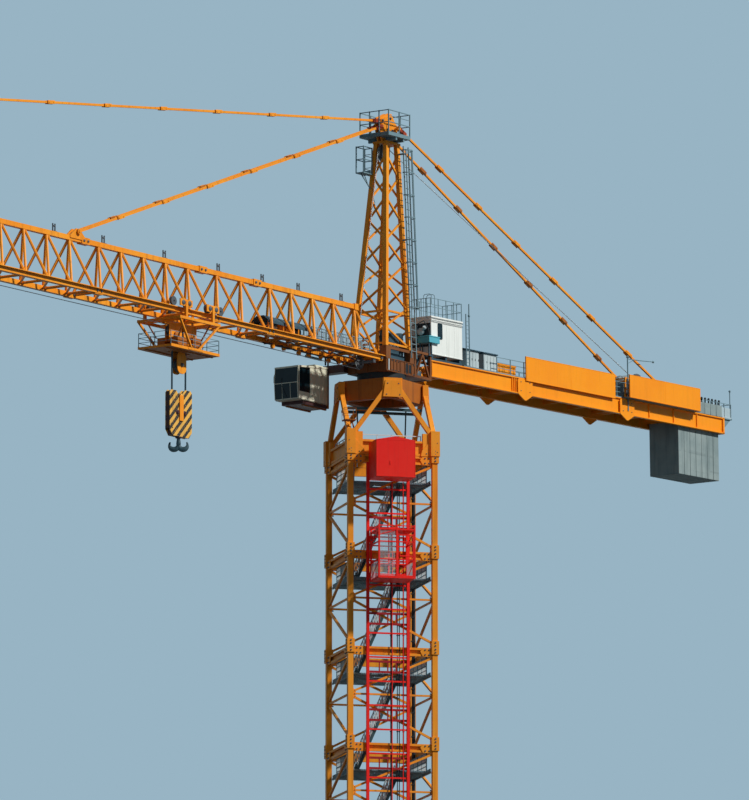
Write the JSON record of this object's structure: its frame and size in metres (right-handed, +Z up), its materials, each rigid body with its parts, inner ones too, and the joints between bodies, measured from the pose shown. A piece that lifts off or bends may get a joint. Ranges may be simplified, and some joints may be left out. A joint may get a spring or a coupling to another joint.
{
  "type": "tower crane, scale model at 1:10",
  "caption": "Hammerhead tower crane with lattice mast and jib, plated counter-jib, concrete slabs, service lift, trolley and double hook, at 1:10.",
  "frame": {"origin": "centre of the foot frame's underside, on the slewing axis", "axes": "+X along the jib towards its tip at rest, +Z up"},
  "size_m": [11.2095, 0.7386, 4.7003],
  "materials": {
    "crane_paint": "satin orange-yellow paint",
    "lift_paint": "satin red paint",
    "grey_paint": "blue-grey painted gratings and rails",
    "dark_steel": "dark greased steel",
    "rope_steel": "stranded wire",
    "house_paint": "off-white sheet metal",
    "cabinet_paint": "light grey sheet metal",
    "concrete": null,
    "cab_window": "dark tinted glass",
    "hook_stripes": "yellow and black warning stripes"
  },
  "bodies": {
    "mast": {"foot_frame": "crane_paint", "mast_section_1": "crane_paint", "mast_section_2": "crane_paint", "mast_section_3": "crane_paint", "mast_section_4": "crane_paint", "mast_section_5": "crane_paint", "mast_section_6": "crane_paint", "mast_platforms": "grey_paint", "mast_stairs": "grey_paint", "top_platform": "grey_paint", "mast_head": "crane_paint", "ring_support": "crane_paint", "slewing_ring_lower": "dark_steel", "lift_rails": "lift_paint", "lift_drive": "lift_paint"},
    "lift": {"lift_cage": "lift_paint"},
    "upper_works": {"slewing_ring_upper": "dark_steel", "turntable": "crane_paint", "slewing_drives": "dark_steel", "tower_head": "crane_paint", "head_cap": "crane_paint", "head_platform": "grey_paint", "head_ladder": "grey_paint", "jib_section_1": "crane_paint", "jib_section_2": "crane_paint", "jib_section_3": "crane_paint", "jib_section_4": "crane_paint", "jib_section_5": "crane_paint", "jib_section_6": "crane_paint", "jib_section_7": "crane_paint", "jib_section_8": "crane_paint", "jib_section_9": "crane_paint", "jib_walkway": "grey_paint", "trolley_winch": "grey_paint", "jib_tie_inner": "crane_paint", "jib_tie_outer": "crane_paint", "counter_girders_inner": "crane_paint", "counter_girders_middle": "crane_paint", "counter_girders_outer": "crane_paint", "counter_deck": "grey_paint", "counter_railings": "grey_paint", "counter_ties": "crane_paint", "counterweights": "concrete", "machine_house": "house_paint", "control_cabinets": "cabinet_paint", "hoist_winch": "dark_steel", "side_boards": "crane_paint", "cab_body": "house_paint", "cab_glass": "cab_window", "cab_bracket": "crane_paint", "rope_sheaves": "dark_steel", "hoist_line": "rope_steel"},
    "trolley": {"trolley_frame": "crane_paint", "trolley_wheels": "dark_steel", "trolley_platform": "grey_paint", "trolley_sheaves": "dark_steel", "rope_falls": "rope_steel"},
    "hook_block": {"block_plates": "hook_stripes", "block_sheaves": "dark_steel"},
    "hook": {"ramshorn_hook": "dark_steel"}
  },
  "joints": [
    {"name": "slew", "type": "hinge", "parent": "mast", "child": "upper_works", "pos_m": [0, 0, 3.425], "axis": [0, 0, 1], "continuous": true},
    {"name": "lift_travel", "type": "slide", "parent": "mast", "child": "lift", "axis": [0, 0, 1], "range_m": [-2.2, 0.2]},
    {"name": "trolley_travel", "type": "slide", "parent": "upper_works", "child": "trolley", "axis": [1, 0, 0], "range_m": [-1.145, 6.1]},
    {"name": "hoist", "type": "slide", "parent": "trolley", "child": "hook_block", "axis": [0, 0, 1], "range_m": [-2.7, 0.07], "deforming": ["rope_falls"]},
    {"name": "hook_swivel", "type": "hinge", "parent": "hook_block", "child": "hook", "pos_m": [1.705, 0, 2.826], "axis": [0, 0, 1], "continuous": true}
  ]
}
